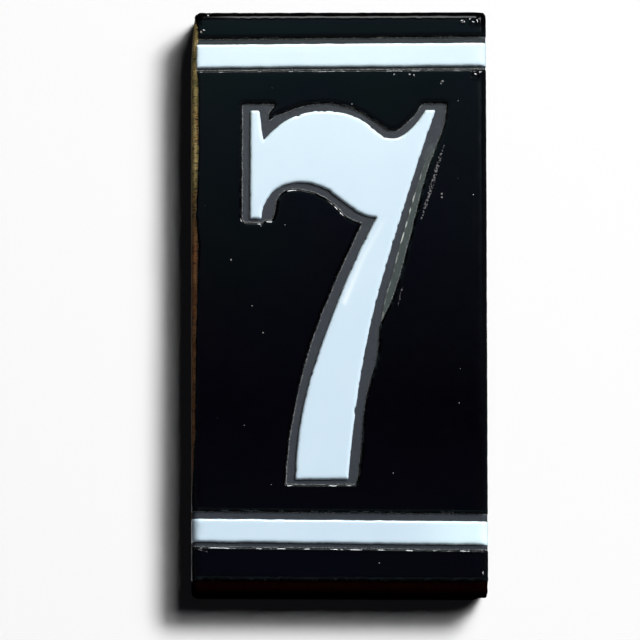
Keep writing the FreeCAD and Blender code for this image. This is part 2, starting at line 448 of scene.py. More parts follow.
def triangles(points, runs, keep):
    """Triangulates points with closed or open runs among them, and drops the triangles that keep refuses."""
    edges = []
    for start, count, closed in runs:
        edges += [(start + i, start + i + 1) for i in range(count - 1)]
        if closed:
            edges.append((start + count - 1, start))
    found = delaunay_2d_cdt([Vector(p) for p in points], edges, [], 0, 1e-5, False)
    places = np.array([tuple(p) for p in found[0]])
    faces = np.array(found[2])
    corners = places[faces]
    area = np.cross(corners[:, 1] - corners[:, 0], corners[:, 2] - corners[:, 0])
    faces[area < 0] = faces[area < 0][:, ::-1]
    return places, faces[keep(corners.mean(1)) & (np.abs(area) > 1e-7)]


def front_points(body, drawing):
    """All points of the sheet: the edges themselves, rows beside them, and fill between."""
    edges, beside = Edges(), []
    edges.add(pairs(outer_ring(body)))
    for path, glaze_above in zip(drawing.lines, (True, False) * 4):
        inside = np.flatnonzero(drawing.reach.inside(pairs(path)) > -0.6)
        path = path[inside[0]:inside[-1] + 1]
        edges.add(pairs(path), closed=False)
        beside += rings(path, False, glaze_above)
    for loop, glaze_left in ((drawing.reach, True), (drawing.seven, False), (drawing.opening, True)):
        edges.add(loop.points)
        beside += rings(loop.path, True, glaze_left)
    for points in (SEAM, STEM_SHEEN, *(points for points, _ in GLINT_LINES)):
        path = resample(marked_path(points), ALONG_EDGE)
        left = 1j * np.gradient(path)
        left /= np.abs(left)
        beside += [(path + left * step, 0.2) for step in MARK_RINGS]
    fixed = edges.points()
    tree = tree_of(fixed)
    rows = np.concatenate([pairs(row) for row, _ in beside])
    room = np.concatenate([np.full(len(row), 0.86 * step) for row, step in beside])
    rows = rows[clear_of(tree, rows, room)]
    low = np.array((-body.a - body.reach, -body.b - body.reach))
    glaze_fill = scattered(low, -low, ON_GLAZE, 11)
    clay_fill = scattered(low, -low, ON_CLAY, 12)
    glazed = drawing.reach.inside(glaze_fill) > 0.5
    bare = drawing.reach.inside(clay_fill) < -0.3
    glaze_fill = glaze_fill[glazed][clear_of(tree, glaze_fill[glazed], np.full(glazed.sum(), 1.4))]
    clay_fill = clay_fill[bare][clear_of(tree, clay_fill[bare], np.full(bare.sum(), 0.5))]
    points = np.concatenate((fixed, rows, glaze_fill, clay_fill))
    far = body.beyond(points)[2]
    held = (far < body.reach - 0.25) | (np.arange(len(points)) < len(fixed))
    return points[held], edges.runs


def front_sheet(body, drawing):
    """The face and sides: places, faces, each face's kind of surface, and the marks on the points."""
    points, runs = front_points(body, drawing)
    sheet, faces = triangles(points, runs, lambda middle: body.beyond(middle)[2] < body.reach - 1e-4)
    fields, glazed, opened = drawing.depths(sheet)
    own = fields[faces].sum(1)
    field = own.argmax(1)
    kind = np.where(own.max(1) > 1e-6, np.array(Drawing.COLOURS)[field], Drawing.BARE)
    depth = fields.max(1)
    far = body.beyond(sheet)[2]
    lip = np.sqrt(1 - (1 - np.clip(depth / LIP, 0, 1)) ** 3)
    fade = np.clip(far / body.quarter, 0, 1)
    thick = GLAZE + (GLAZE_ON_SIDE - GLAZE) * fade ** 2 * (3 - 2 * fade)
    recess = thick * (1 - lip)
    recess += SUNK + WAVE * ripple(sheet, 21.0, 4.4) * (lip > 0)
    skirt, seam = thin_skirt(sheet, opened)
    recess -= np.where(depth > 0, 0, SKIRT_RISE * skirt + SEAM_RISE * seam)
    grain = CLAY_FINE * ripple(sheet, 0.9, 2.2) + CLAY_COARSE * ripple(sheet, 3.7, 7.7)
    recess += np.where(depth > 0, 0, (CLAY_SUNK + grain) * (1 - 0.4 * fade))
    recess *= np.clip((body.reach - far) / 0.8, 0, 1)
    place, normal = body.wrap(sheet)
    place -= normal * recess[:, None]
    black = np.maximum.reduce([fields[:, i] for i, colour in enumerate(Drawing.COLOURS)
                               if colour == Drawing.BLACK])
    return place, faces, kind, {
        "rim": np.clip(depth, -3, 3),
        "dry_line": np.clip(glazed / 0.9 + 0.4, 0, 1),
        "beside_black": np.clip(1 + black / 0.5, 0, 1),
        "skirt": skirt,
        "seam": seam,
        "streak": painted_glint_lines(sheet),
        "shoulder": fade,
        "painted_sheen": painted_sheen(sheet),
        "back": np.clip((far - body.reach + 0.35) / 0.3, 0, 1),
    }


def hump(values, middle, reach):
    """One at the middle, falling smoothly to nothing at the reach on both sides."""
    share = np.clip(1 - np.abs(values - middle) / reach, 0, 1)
    return share ** 2 * (3 - 2 * share)


def between(values, low, high, soft):
    """One between low and high, fading over the soft distance beyond them."""
    return np.clip((values - low) / soft + 1, 0, 1) * np.clip((high - values) / soft + 1, 0, 1)


def marked_path(points):
    """A gently curved line through a few points of the face."""
    path = resample(np.array([complex(*p) for p in points]), MARK_STEP)
    half = 6
    return smoothed(np.concatenate((np.full(half, path[0]), path, np.full(half, path[-1]))), half)


def away_from(path, sheet):
    """Distance from points to a line, either side of it."""
    tree = tree_of(pairs(resample(path, NEAR_STEP)))
    return np.array([tree.find((x, y, 0))[2] for x, y in sheet])


def thin_skirt(sheet, opened):
    """The thin greenish skirt of glaze right of the stem, and the raised seam where it starts."""
    seam = marked_path(SEAM)
    start = np.interp(sheet[:, 1], seam.imag[::-1], seam.real[::-1])
    inside = np.clip(opened / 0.15 + 1, 0, 1) * between(sheet[:, 1], -8.0, 38.0, 2.5) * (sheet[:, 0] > 5)
    skirt = np.clip((sheet[:, 0] - start) / 0.3 + 0.5, 0, 1) * inside
    return skirt, hump(away_from(seam, sheet), 0, 0.32) * inside


def painted_glint_lines(sheet):
    """Dotted lines of painted glints in the black glaze, each thinner towards its ends."""
    found = []
    for points, reach in GLINT_LINES:
        path = marked_path(points)
        low, high = path.imag.min(), path.imag.max()
        along = np.abs(sheet[:, 1] - (low + high) / 2) / ((high - low) / 2)
        found.append(hump(away_from(path, sheet), 0, reach * np.interp(along, (0.5, 1), (1, 0.35))))
    return np.maximum.reduce(found)


def painted_sheen(sheet):
    """A soft painted highlight down the left of the white stem, strongest at its foot."""
    strength = np.interp(sheet[:, 1], (-1, 8, 20), (1.0, 0.6, 0.3))
    return hump(away_from(marked_path(STEM_SHEEN), sheet), 0, STEM_SHEEN_WIDTH) * strength


def pocket_boxes(body):
    """The middle and half size of each keying pocket."""
    step_x = (body.width - 2 * POCKET_MARGIN + POCKET_RIB) / POCKET_COLUMNS
    step_z = (body.height - 2 * POCKET_MARGIN + POCKET_RIB) / POCKET_ROWS
    half = np.array((step_x - POCKET_RIB, step_z - POCKET_RIB)) / 2
    corner = np.array((POCKET_MARGIN - body.width / 2, POCKET_MARGIN - body.height / 2))
    return [(corner + half + (i * step_x, j * step_z), half)
            for i in range(POCKET_COLUMNS) for j in range(POCKET_ROWS)]


def pocket_loop(middle, half, inset):
    """A pocket's rounded outline, a little way in from its edge."""
    radius = POCKET_CORNER - inset * 0.6
    inner = half - inset - radius
    turn = np.linspace(0, math.pi / 2, 6)
    loop = []
    for i, (x, z) in enumerate(((1, 1), (-1, 1), (-1, -1), (1, -1))):
        arc = radius * np.exp(1j * (turn + i * math.pi / 2))
        loop.append(complex(middle[0] + x * inner[0], middle[1] + z * inner[1]) + arc)
    loop = np.concatenate(loop)
    return resample(np.append(loop, loop[0]), 1.0)[:-1]


def back_sheet(body):
    """The flat back with its pockets, on the same ring of points as the sheet's edge."""
    ring = body.wrap(pairs(outer_ring(body)))[0][:, (0, 2)]
    edges, deep = Edges(), [np.zeros(len(ring))]
    edges.add(ring)
    for middle, half in pocket_boxes(body):
        for inset, share in ((0.0, 0.0), (POCKET_DRAFT * 0.35, 0.45), (POCKET_DRAFT, 1.0)):
            edge = pairs(pocket_loop(middle, half, inset))
            edges.add(edge)
            deep.append(np.full(len(edge), share))
    fixed, shares = edges.points(), np.concatenate(deep)
    low = ring.min(0)
    fill = scattered(low, -low, ON_BACK, 21)
    inset = np.minimum(body.a + 0.9 - np.abs(fill[:, 0]), body.b + 0.9 - np.abs(fill[:, 1]))
    fill = fill[(inset > 0) & clear_of(tree_of(fixed), fill, np.full(len(fill), 0.6))]
    floor = np.zeros(len(fill))
    for middle, half in pocket_boxes(body):
        floor[(np.abs(fill - middle) < half - POCKET_DRAFT * 0.8).all(1)] = 1
    known = np.concatenate((fixed, fill))
    limit = np.array((body.a, body.b)) + SHOULDER
    flat, faces = triangles(known, edges.runs, lambda middle: (np.abs(middle) < limit).all(1))
    tree = tree_of(known)
    share = np.concatenate((shares, floor))[[tree.find((x, y, 0))[1] for x, y in flat]]
    uneven = 0.05 + 0.05 * ripple(flat, 2.4, 9.2) + 0.02 * ripple(flat, 0.8, 3.9)
    tree = tree_of(ring)
    fade = np.clip(np.array([tree.find((x, y, 0))[2] for x, y in flat]) / 0.7, 0, 1)
    y = -share * POCKET_DEPTH - uneven * fade
    return np.stack((flat[:, 0], y, flat[:, 1]), 1), faces[:, ::-1]


def break_corner(place):
    """Breaks the corner away behind the bottom right, and says where."""
    corner, rise = np.array(CHIP_CORNER), np.array(CHIP_RISE)
    front = np.cross(rise, CHIP_FRONT)
    side = np.cross(rise, CHIP_SIDE)
    front *= np.sign(front[1]) / np.linalg.norm(front)
    side *= np.sign(side[0]) / np.linalg.norm(side)
    rough = 0.16 * ripple(place[:, (0, 1)] + place[:, (1, 2)], 0.9, 5.1)
    past_front = (place - corner) @ front + rough
    past_side = (place - corner) @ side + rough
    broken = (past_front > 0) & (past_side > 0)
    nearer = past_front < past_side
    for mask, past, normal in ((broken & nearer, past_front, front), (broken & ~nearer, past_side, side)):
        place[mask] -= normal * past[mask][:, None]
    return broken


def draw_in(body, place):
    """Leans the left side in towards the top corner, slopes the top edge and lets the foot sag a little."""
    share = np.clip((place[:, 2] - body.height / 2 + DRAW_IN_LENGTH) / DRAW_IN_LENGTH, 0, 1)
    near = np.clip(-place[:, 0] / (body.width / 2), 0, 1)
    up = place[:, 2] / (body.height / 2)
    slope = TOP_SLOPE * np.clip(up, 0, 1) ** 2 * (0.5 - place[:, 0] / body.width)
    place[:, 0] += DRAW_IN * share ** 2 * near ** 3
    place[:, 2] -= slope + FOOT_SAG * np.clip(-up, 0, 1) ** 4


def tile_mesh(body):
    """One closed mesh of the face, the sides and the back."""
    drawing = Drawing(body)
    front, front_faces, kind, marks = front_sheet(body, drawing)
    back, back_faces = back_sheet(body)
    place = np.concatenate((front, back))
    faces = np.concatenate((front_faces, back_faces + len(front)))
    kind = np.concatenate((kind, np.full(len(back_faces), Drawing.BARE)))
    on_back = {"rim": -3.0, "back": 1.0}
    marks = {name: np.concatenate((values, np.full(len(back), on_back.get(name, 0.0))))
             for name, values in marks.items()}
    draw_in(body, place)
    marks["broken"] = break_corner(place).astype(float)
    mesh = bpy.data.meshes.new("glazed_tile")
    mesh.from_pydata((place * MM).tolist(), [], faces.tolist())
    mesh.polygons.foreach_set("material_index", kind.astype(np.int32))
    for name, values in marks.items():
        mesh.attributes.new(name, "FLOAT", "POINT").data.foreach_set("value", values.astype(np.float32))
    weld(mesh)
    mesh.shade_smooth()
    return mesh


def weld(mesh):
    """Joins the points that the front and the back share."""
    work = bmesh.new()
    work.from_mesh(mesh)
    bmesh.ops.remove_doubles(work, verts=work.verts, dist=2e-6)
    work.to_mesh(mesh)
    work.free()


class Nodes:
    """Adds nodes to a material or the world, emptied first unless told not to."""

    def __init__(self, owner, empty=True):
        owner.use_nodes = True
        self.tree = owner.node_tree
        if empty:
            self.tree.nodes.clear()

    def add(self, kind, inputs=None, **settings):
        """A new node with its settings, and a value or a link for each input given."""
        node = self.tree.nodes.new("ShaderNode" + kind)
        for name, value in settings.items():
            setattr(node, name, value)
        for name, value in (inputs or {}).items():
            self.put(node.inputs[name], value)
        return node

    def put(self, socket, value):
        """Links a socket to another, or gives it a number, a vector or a colour."""
        if isinstance(value, bpy.types.NodeSocket):
            self.tree.links.new(value, socket)
        else:
            socket.default_value = (*value, 1.0) if socket.type == "RGBA" else value

    def part(self, vector, axis):
        """One coordinate of a place, or one channel of a colour: 0, 1 or 2."""
        return self.add("SeparateXYZ", {"Vector": vector}).outputs[axis]

    def ramp(self, value, low, high, start=0.0, end=1.0, shape="SMOOTHSTEP"):
        """Goes from start to end as value goes from low to high."""
        limits = {"From Min": low, "From Max": high, "To Min": start, "To Max": end}
        node = self.add("MapRange", {"Value": value, **limits}, interpolation_type=shape)
        return node.outputs["Result"]

    def math(self, operation, total, *others):
        """Numbers joined in turn by the operation."""
        for other in others:
            total = self.add("Math", {0: total, 1: other}, operation=operation).outputs["Value"]
        return total

    def mix(self, share, first, second):
        """Two colours mixed by a share."""
        return self.add("Mix", {"Factor": share, 6: first, 7: second}, data_type="RGBA").outputs[2]


class Finish(Nodes):
    """A procedural surface. Sizes and places are in millimetres."""

    def __init__(self, name):
        self.material = bpy.data.materials.new(name)
        super().__init__(self.material, empty=False)
        self.shader = self.tree.nodes["Principled BSDF"]
        self.place = self.add("TexCoord").outputs["Object"]
        self.across, self.height = self.part(self.place, 0), self.part(self.place, 2)

    def rightward(self, low, high, start=0.0, end=1.0):
        """A ramp from left to right across the tile."""
        return self.ramp(self.across, low * MM, high * MM, start, end)

    def upward(self, low, high, start=0.0, end=1.0):
        """A ramp by height on the tile."""
        return self.ramp(self.height, low * MM, high * MM, start, end)

    def stretched(self, scale):
        """Places on the tile, scaled along each axis."""
        scale = [s / MM for s in scale]
        return self.add("Mapping", {"Vector": self.place, "Scale": scale}).outputs["Vector"]

    def noise(self, size, detail=3.0, rough=0.55, stretch=(1, 1, 1)):
        """Noise with features of about the given size."""
        vector = self.stretched([s / size for s in stretch])
        inputs = {"Vector": vector, "Scale": 1.0, "Detail": detail, "Roughness": rough}
        return self.add("TexNoise", inputs).outputs["Fac"]

    def specks(self, size, share, radius):
        """Scattered round specks, one if inside a speck. Share is how many of the cells hold one."""
        inputs = {"Vector": self.stretched([1 / size] * 3), "Scale": 1.0}
        node = self.add("TexVoronoi", inputs, feature="F1")
        chosen = self.ramp(self.part(node.outputs["Color"], 0), 1 - share, 1 - share + 0.01)
        near = self.ramp(node.outputs["Distance"], radius / size * 0.6, radius / size, 1.0, 0.0)
        return self.math("MULTIPLY", chosen, near)

    def bead(self, x, z, radius):
        """A small round rise at a place on the face: one at its top."""
        flat = self.add("VectorMath", {0: self.place, 1: (1, 0, 1)}, operation="MULTIPLY")
        ends = {0: flat.outputs["Vector"], 1: (x * MM, 0, z * MM)}
        away = self.add("VectorMath", ends, operation="DISTANCE").outputs["Value"]
        return self.ramp(away, 0.0, radius * MM, 1.0, 0.0)

    def mark(self, name):
        """A value that the mesh carries at each point."""
        return self.add("Attribute", attribute_name=name).outputs["Fac"]

    def bump(self, height, distance, under=None):
        """Raises the surface by height times distance, on top of another bump where there is one."""
        inputs = {"Strength": 1.0, "Distance": distance * MM, "Height": height}
        if under is not None:
            inputs["Normal"] = under
        return self.add("Bump", inputs).outputs["Normal"]

    def set(self, **values):
        """Gives the surface's own inputs their values."""
        for name, value in values.items():
            self.put(self.shader.inputs[name.replace("_", " ")], value)
        return self.material


# Colours of the black glaze. Where there are two, noise mixes them
BLACK_SKIN = (0.0003, 0.0003, 0.0006), (0.0012, 0.0008, 0.001)
BLACK_GRIT_HIGHLIGHT = (0.05, 0.055, 0.055)
BLACK_PIT = (0.26, 0.29, 0.31)
BLACK_SPECK_AND_GLINT = (0.19, 0.185, 0.185)
BLACK_GLINT_LINE = (0.15, 0.145, 0.155)
BLACK_LIP_REFLECTION = (0.0036, 0.0046, 0.0055)

# How strongly glaze mirrors, and how much of that is lost where it is dull
MIRROR = 0.5
MIRROR_LOST = 0.47


def black_glaze():
    """Black gloss glaze, partly dull at its lip, with pinholes, specks, beads and a rippled skin, and with
    painted glints, a painted stippled highlight and a painted dim reflection at its lip.
    """
    f = Finish("black_glaze")
    rim, shoulder = f.mark("rim"), f.mark("shoulder")
    edge = f.math("ADD", rim, f.math("MULTIPLY", f.noise(0.8), 0.5))
    # Grey grit where the glaze thins near its edge, painted there as a stippled highlight along the lip
    grit_highlight = f.math("MULTIPLY", f.ramp(edge, 0.25, 0.6, 1.0, 0.0), f.ramp(f.noise(0.5, 2.0), 0.52, 0.62))
    colour = f.mix(grit_highlight, f.mix(f.noise(9.0), *BLACK_SKIN), BLACK_GRIT_HIGHLIGHT)
    pits = f.specks(3.4, 0.16, 0.17)
    colour = f.mix(pits, colour, BLACK_PIT)
    # Pale specks, the last two of them painted glints
    for pale_spot in SPECKS_AND_GLINTS:
        colour = f.mix(f.ramp(f.bead(*pale_spot), 0.2, 0.6), colour, BLACK_SPECK_AND_GLINT)
    # Dotted lines of painted glints along the black glaze's lip
    dots = f.math("SUBTRACT", f.math("MULTIPLY", f.noise(0.5, 3.0), 2.4), 1.85)
    streak = f.math("ADD", f.mark("streak"), dots)
    colour = f.mix(f.ramp(streak, 0.2, 0.6), colour, BLACK_GLINT_LINE)
    beads = f.math("MAXIMUM", *[f.math("MULTIPLY", f.bead(*bead), bead[2]) for bead in BEADS])
    # Bumps: slow waves, a fine peel, then pits and beads
    calm = f.ramp(shoulder, 0.0, 0.1, 1.0, 0.3)
    waves = f.bump(f.math("MULTIPLY", f.math("SUBTRACT", f.noise(5.5, 1.0), 0.5), calm), 0.012)
    peel = f.bump(f.noise(1.1, 2.0), 0.0015, under=waves)
    pitted = f.bump(f.math("ADD", f.math("MULTIPLY", pits, 0.12), beads), 0.42, under=peel)
    # Dull in patches along the lip, at the top edge, round the shoulder and on the left side
    patches = f.ramp(f.noise(1.5, 2.0, 0.5, (0.6, 1.0, 1.0)), 0.52, 0.59)
    gloss = f.math("MULTIPLY", patches, f.upward(44, 56, 1.0, 0.3))
    dull = f.math("MULTIPLY", f.ramp(rim, 0.6, 0.9, 1.0, 0.0), f.math("SUBTRACT", 1.0, gloss))
    # High and low on the face, the lip's dull patches get a dim bluish painted reflection
    away = f.math("ADD", f.upward(26, 38), f.upward(-50, -46, 1.0, 0.0))
    colour = f.mix(f.math("MULTIPLY", dull, away), colour, BLACK_LIP_REFLECTION)
    top = f.math("MULTIPLY", f.ramp(shoulder, 0.03, 0.1), f.upward(69, 72.5))
    top = f.math("MULTIPLY", top, f.rightward(-34, -24, 1.06, 1.01))
    dull = f.math("MAXIMUM", dull, top, f.ramp(shoulder, 0.55, 0.85, 0.0, 0.85))
    dull = f.math("MULTIPLY", dull, f.ramp(beads, 0.05, 0.3, 1.0, 0.0))
    dull = f.math("MAXIMUM", dull, f.rightward(-37.2, -36.4, 1.06, 0.0))
    mirror = f.math("SUBTRACT", MIRROR, f.math("MULTIPLY", dull, MIRROR_LOST))
    rough = f.ramp(f.noise(3.0), 0.3, 0.8, 0.05, 0.1)
    return f.set(Base_Color=colour, Roughness=rough, Specular_IOR_Level=mirror, Normal=pitted)


# Colours of the white glaze
WHITE_SKIN = (0.545, 0.685, 0.80), (0.595, 0.73, 0.835)
WHITE_CORNER = (0.69, 0.87, 0.94)
WHITE_SHEEN = (0.76, 0.86, 0.92)
WHITE_LIP = (0.36, 0.44, 0.5)
WHITE_PIT = (0.30, 0.34, 0.36)


def white_glaze():
    """Bluish white gloss glaze, greyer where it thins at the lip and paler at the low band's right end, with
    a painted highlight down the stem.
    """
    f = Finish("white_glaze")
    edge = f.math("ADD", f.mark("rim"), f.math("MULTIPLY", f.noise(0.7), 0.2))
    corner = f.math("MULTIPLY", f.rightward(14, 33), f.upward(-57, -53, 1.0, 0.0))
    colour = f.mix(corner, f.mix(f.noise(12.0), *WHITE_SKIN), WHITE_CORNER)
    # A painted highlight down the left of the stem
    colour = f.mix(f.mark("painted_sheen"), colour, WHITE_SHEEN)
    colour = f.mix(f.ramp(edge, 0.02, 0.16, 1.0, 0.0), colour, WHITE_LIP)
    pits = f.specks(3.1, 0.06, 0.11)
    colour = f.mix(pits, colour, WHITE_PIT)
    pitted = f.bump(pits, -0.03, under=f.bump(f.noise(5.0, 1.0), 0.012))
    rough = f.ramp(f.noise(3.0), 0.3, 0.8, 0.06, 0.12)
    return f.set(Base_Color=colour, Roughness=rough, Normal=pitted)


# Colours of the clay from the top of the sides down, of the back, of marks on it, and the near black painted
# shade of the bare foot
CLAY_UPPER = (0.18, 0.155, 0.05), (0.43, 0.33, 0.14)
CLAY_PATCH = (0.31, 0.15, 0.035)
CLAY_MIDDLE = (0.16, 0.055, 0.012), (0.27, 0.12, 0.04)
CLAY_LOWER = (0.10, 0.028, 0.02), (0.18, 0.052, 0.038)
CLAY_BACK = (0.22, 0.065, 0.042), (0.33, 0.12, 0.08)
CLAY_DRAG = (0.014, 0.008, 0.004)
CLAY_FOOT_SHADE = (0.0011, 0.0002, 0.0002), (0.0042, 0.0006, 0.0006)
CLAY_BROKEN = (0.36, 0.17, 0.11), (0.46, 0.25, 0.17)


def clay_colour(f, grain):
    """Ochre clay high on the sides, red clay lower and on the back, dark drag marks, and a foot painted near
    black as shade.
    """
    back = f.mark("back")
    side = f.math("SUBTRACT", 1.0, back)
    blotch = f.ramp(f.noise(3.0, 4.0), 0.33, 0.67)
    upper = f.mix(f.ramp(f.noise(6.5), 0.5, 0.68, 0.0, 0.7), f.mix(blotch, *CLAY_UPPER), CLAY_PATCH)
    lower = f.mix(f.upward(-62, -30), f.mix(blotch, *CLAY_LOWER), f.mix(blotch, *CLAY_MIDDLE))
    clay = f.mix(f.upward(12, 34), lower, upper)
    clay = f.mix(back, clay, f.mix(grain, *CLAY_BACK))
    drag = f.ramp(f.noise(0.9, 4.0, 0.7, (0.25, 1.0, 1.9)), 0.5, 0.6)
    clay = f.mix(f.math("MULTIPLY", drag, side), clay, CLAY_DRAG)
    # The bare foot and underside painted near black as their shade
    foot = f.math("MULTIPLY", f.upward(-71.2, -70.2, 1.0, 0.0), side)
    clay = f.mix(foot, clay, f.mix(f.noise(1.4, 3.0, 0.6, (0.2, 1.0, 1.0)), *CLAY_FOOT_SHADE))
    return f.mix(f.mark("broken"), clay, f.mix(grain, *CLAY_BROKEN)), foot


# Greys of the dry lines, greener on the skirt and darker beside the top band, and what lies on them: painted
# highlights along the edge beside the black glaze, and the seam's glaze with painted glints on it
GREY = (0.016, 0.0205, 0.028), (0.034, 0.04, 0.05)
GREY_SKIRT = (0.017, 0.0255, 0.025), (0.034, 0.048, 0.047)
GREY_UPPER = (0.008, 0.012, 0.016), (0.018, 0.024, 0.029)
RIM_HIGHLIGHT = (0.062, 0.07, 0.074)
DUST_AND_HIGHLIGHT = (0.17, 0.18, 0.18)
SEAM_GLAZE = (0.06, 0.072, 0.07)
SEAM_GLINT = (0.62, 0.68, 0.66)

# How strongly clay mirrors. The shaded foot mirrors nothing
CLAY_MIRROR = 0.14


def bare_clay():
    """Unglazed surface: matt grey dry lines on the face, ochre to red clay at the edges and back."""
    f = Finish("bare_clay")
    grain = f.noise(0.5, 4.0, 0.65)
    grit_highlight = f.noise(0.4, 2.0)
    skirt = f.mark("skirt")
    grey = f.mix(f.upward(45, 59), f.mix(grain, *GREY), f.mix(grain, *GREY_UPPER))
    grey = f.mix(skirt, grey, f.mix(grain, *GREY_SKIRT))
    # Along the edge beside the black glaze: a painted stippled highlight, and pale dust with a painted
    # highlight on it
    beside = f.ramp(f.mark("beside_black"), 0.35, 0.85)
    rim_highlight = f.math("MULTIPLY", f.ramp(skirt, 0.0, 0.3, 1.0, 0.0), f.ramp(grit_highlight, 0.35, 0.6, 0.25, 0.9))
    grey = f.mix(f.math("MULTIPLY", beside, rim_highlight), grey, RIM_HIGHLIGHT)
    grey = f.mix(f.math("MULTIPLY", beside, f.ramp(grit_highlight, 0.46, 0.6)), grey, DUST_AND_HIGHLIGHT)
    # Painted glints in dashes on the seam's glaze, strongest part way up
    seam_glints = f.ramp(f.noise(0.9, 3.0, 0.5, (1.0, 1.0, 0.4)), 0.46, 0.6)
    seam_glints = f.math("MULTIPLY", seam_glints, f.upward(8, 17, 0.3, 1.0), f.upward(25.5, 29, 1.0, 0.4))
    seam = f.ramp(f.math("ADD", f.mark("seam"), f.math("MULTIPLY", grain, 0.3)), 0.35, 0.95)
    grey = f.mix(seam, grey, f.mix(seam_glints, SEAM_GLAZE, SEAM_GLINT))
    share = f.math("ADD", f.mark("dry_line"), f.math("MULTIPLY", f.math("SUBTRACT", grain, 0.5), 0.5))
    clay, foot = clay_colour(f, grain)
    colour = f.mix(f.ramp(share, 0.4, 0.6), clay, grey)
    fine = f.bump(grain, 0.05, under=f.bump(f.noise(1.6, 5.0, 0.7), 0.16))
    rough = f.math("SUBTRACT", f.ramp(grain, 0.2, 0.8, 0.72, 0.92), f.math("MULTIPLY", skirt, 0.3))
    mirror = f.math("SUBTRACT", CLAY_MIRROR, f.math("MULTIPLY", foot, CLAY_MIRROR))
    return f.set(Base_Color=colour, Roughness=rough, Specular_IOR_Level=mirror, Normal=fine)


def make_tile():
    """The tile's visual mesh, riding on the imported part's only body."""
    low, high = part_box(NODE)
    mesh = tile_mesh(Body(low, high))
    for material in (black_glaze(), white_glaze(), bare_clay()):
        mesh.materials.append(material)
    tile = bpy.data.objects.new("glazed_tile", mesh)
    bpy.context.scene.collection.objects.link(tile)
    tile.visible_diffuse = False
    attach(tile, "root")
    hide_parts(NODE)
    return tile


# The camera: its place in millimetres, and its yaw, pitch and roll in degrees
CAMERA = (-157.87, -3990.49, -736.11)
CAMERA_TURN = (2.2, 10.4, -0.1306)
CAMERA_LENS = 900.0


def make_camera():
    """A far camera with a long lens, a little below and left of the tile."""
    yaw, pitch, roll = (math.radians(a) for a in CAMERA_TURN)
    ahead = Vector((math.sin(yaw) * math.cos(pitch), math.cos(yaw) * math.cos(pitch), math.sin(pitch)))
    right = Vector((math.cos(yaw), -math.sin(yaw), 0))
    up = right.cross(ahead)
    right, up = right * math.cos(roll) + up * math.sin(roll), up * math.cos(roll) - right * math.sin(roll)
    camera = bpy.data.objects.new("camera", bpy.data.cameras.new("camera"))
    camera.data.lens = CAMERA_LENS
    camera.data.clip_end = 30.0
    camera.matrix_world = Matrix((right, up, -ahead)).transposed().to_4x4()
    camera.matrix_world.translation = Vector(CAMERA) * MM
    bpy.context.scene.collection.objects.link(camera)
    bpy.context.scene.camera = camera


def one_sided(name, colour):
    """Plain matt paint that shows from its front only."""
    material = bpy.data.materials.new(name)
    nodes = Nodes(material)
    paint = nodes.add("BsdfDiffuse", {"Color": colour})
    clear = nodes.add("BsdfTransparent")
    behind = nodes.add("NewGeometry").outputs["Backfacing"]
    shaders = {1: paint.outputs["BSDF"], 2: clear.outputs["BSDF"]}
    pick = nodes.add("MixShader", {"Fac": behind, **shaders})
    nodes.add("OutputMaterial", {"Surface": pick.outputs["Shader"]})
    return material


def flat_sheet(name, corners, material):
    """A four-cornered stage sheet that neither shades, lights nor shows in the tile."""
    mesh = bpy.data.meshes.new(name)
    mesh.from_pydata(corners, [], [(0, 1, 2, 3)])
    mesh.materials.append(material)
    sheet = bpy.data.objects.new(name, mesh)
    bpy.context.scene.collection.objects.link(sheet)
    sheet.visible_diffuse = False
    sheet.visible_glossy = False
    sheet.visible_shadow = False
    return sheet


PAINT = (0.955, 0.955, 0.955)


def make_stage():
    """A pale wall behind the tile and a pale floor well below it, with sizes in metres."""
    paint = one_sided("pale_paint", PAINT)
    side, low, high, near, back = 1.6, -0.62, 1.4, -3.0, 0.0004
    foot = [(side, back, low), (-side, back, low)]
    flat_sheet("wall", [*foot[::-1], (side, back, high), (-side, back, high)], paint)
    flat_sheet("floor", [(-side, near, low), (side, near, low), *foot], paint)


# The card in metres: its half width, place, foot and head, and its glow by height, clouded by noise
CARD_SIDE = 0.5
CARD_AHEAD = -0.35
CARD_LOW = -0.5
CARD_HIGH = 0.28
CARD_GLOW = [(-0.1, (0.11, 0.17, 0.21)), (-0.045, (0.01, 0.01, 0.02)), (-0.012, (0.03, 0.045, 0.1)),
             (0.03, (0.01, 0.01, 0.04)), (0.07, (0.045, 0.06, 0.1)), (0.1, (0.075, 0.115, 0.155)),
             (0.137, (0.105, 0.205, 0.25)), (0.225, (0.125, 0.235, 0.285)), (0.28, (0.06, 0.09, 0.11))]
CLOUD_SCALE = 24.0
CLOUD_RANGE = (0.3, 0.7)
CLOUD_TINT = (0.82, 1.18)


